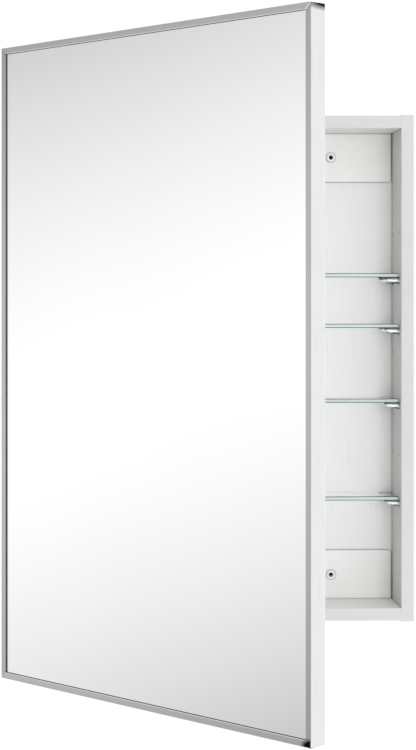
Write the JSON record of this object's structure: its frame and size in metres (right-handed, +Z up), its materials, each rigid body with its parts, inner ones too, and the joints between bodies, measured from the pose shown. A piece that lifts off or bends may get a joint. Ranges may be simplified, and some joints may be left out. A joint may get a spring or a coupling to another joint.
{
  "type": "medicine cabinet",
  "caption": "Wall-hung bathroom cabinet with a tall framed mirror door on a side hinge, glass shelves on pin supports and a magnetic catch.",
  "frame": {"origin": "middle of the four wall-screw holes, on the wall plane at the cabinet's back", "axes": "+X to the right seen from the front, +Y back into the wall, +Z up; the front faces -Y"},
  "size_m": [0.5043, 0.4901, 0.7619],
  "materials": {
    "laminate": "silver-white laminate with a fine brushed grain, low sheen",
    "back_board": "silver-white laminate with a fine brushed grain, low sheen",
    "rail_board": "plain board, unfinished",
    "plate_paint": "white stoved paint, low sheen",
    "plated_steel": "bright zinc plate",
    "white_nylon": "moulded nylon",
    "support_chrome": "polished chrome plate",
    "magnet": "ferrite",
    "hinge_steel": "nickel-plated steel",
    "frame_metal": "polished, chrome-plated",
    "key_metal": "mill finish",
    "mirror": "silvered glass",
    "foam_tape": "foam",
    "core_board": "fibreboard",
    "back_sheet": "white coated sheet, low sheen",
    "bumper": "clear soft silicone",
    "shelf_glass": "clear float glass with polished green edges"
  },
  "bodies": {
    "cabinet": {"side_panel_left": "laminate", "side_panel_right": "laminate", "top_panel": "laminate", "bottom_panel": "laminate", "back_panel": "back_board", "hanging_rail_upper": "rail_board", "hanging_rail_lower": "rail_board", "mount_plate_upper": "plate_paint", "mount_plate_lower": "plate_paint", "wall_hole_washers": "plated_steel", "wall_hole_bushes": "white_nylon", "panel_screws": "plated_steel", "shelf_supports_1": "support_chrome", "shelf_supports_2": "support_chrome", "shelf_supports_3": "support_chrome", "shelf_supports_4": "support_chrome", "catch_housing": "white_nylon", "catch_magnet": "magnet", "catch_pole_plates": "plated_steel", "catch_screws": "plated_steel", "hinge_leaf_body": "hinge_steel", "hinge_pin": "hinge_steel", "hinge_screws_body": "plated_steel"},
    "door": {"frame_left": "frame_metal", "frame_right": "frame_metal", "frame_top": "frame_metal", "frame_bottom": "frame_metal", "corner_keys": "key_metal", "mirror_glass": "mirror", "mirror_tape": "foam_tape", "door_core": "core_board", "door_back_sheet": "back_sheet", "hinge_leaf_door": "hinge_steel", "hinge_screws_door": "plated_steel", "strike_plate": "plated_steel", "strike_screws": "plated_steel", "door_bumpers": "bumper"},
    "shelf_1": {"shelf_1": "shelf_glass"},
    "shelf_2": {"shelf_2": "shelf_glass"},
    "shelf_3": {"shelf_3": "shelf_glass"},
    "shelf_4": {"shelf_4": "shelf_glass"}
  },
  "joints": [
    {"name": "door_swing", "type": "hinge", "parent": "cabinet", "child": "door", "pos_m": [-0.246, -0.0905, 0], "axis": [0, 0, -1], "range_deg": [-48.8, 61.2]},
    {"name": "shelf_1_lift", "type": "slide", "parent": "cabinet", "child": "shelf_1", "axis": [0, 0, 1], "range_m": [0, 0.02]},
    {"name": "shelf_2_lift", "type": "slide", "parent": "cabinet", "child": "shelf_2", "axis": [0, 0, 1], "range_m": [0, 0.02]},
    {"name": "shelf_3_lift", "type": "slide", "parent": "cabinet", "child": "shelf_3", "axis": [0, 0, 1], "range_m": [0, 0.02]},
    {"name": "shelf_4_lift", "type": "slide", "parent": "cabinet", "child": "shelf_4", "axis": [0, 0, 1], "range_m": [0, 0.02]}
  ]
}
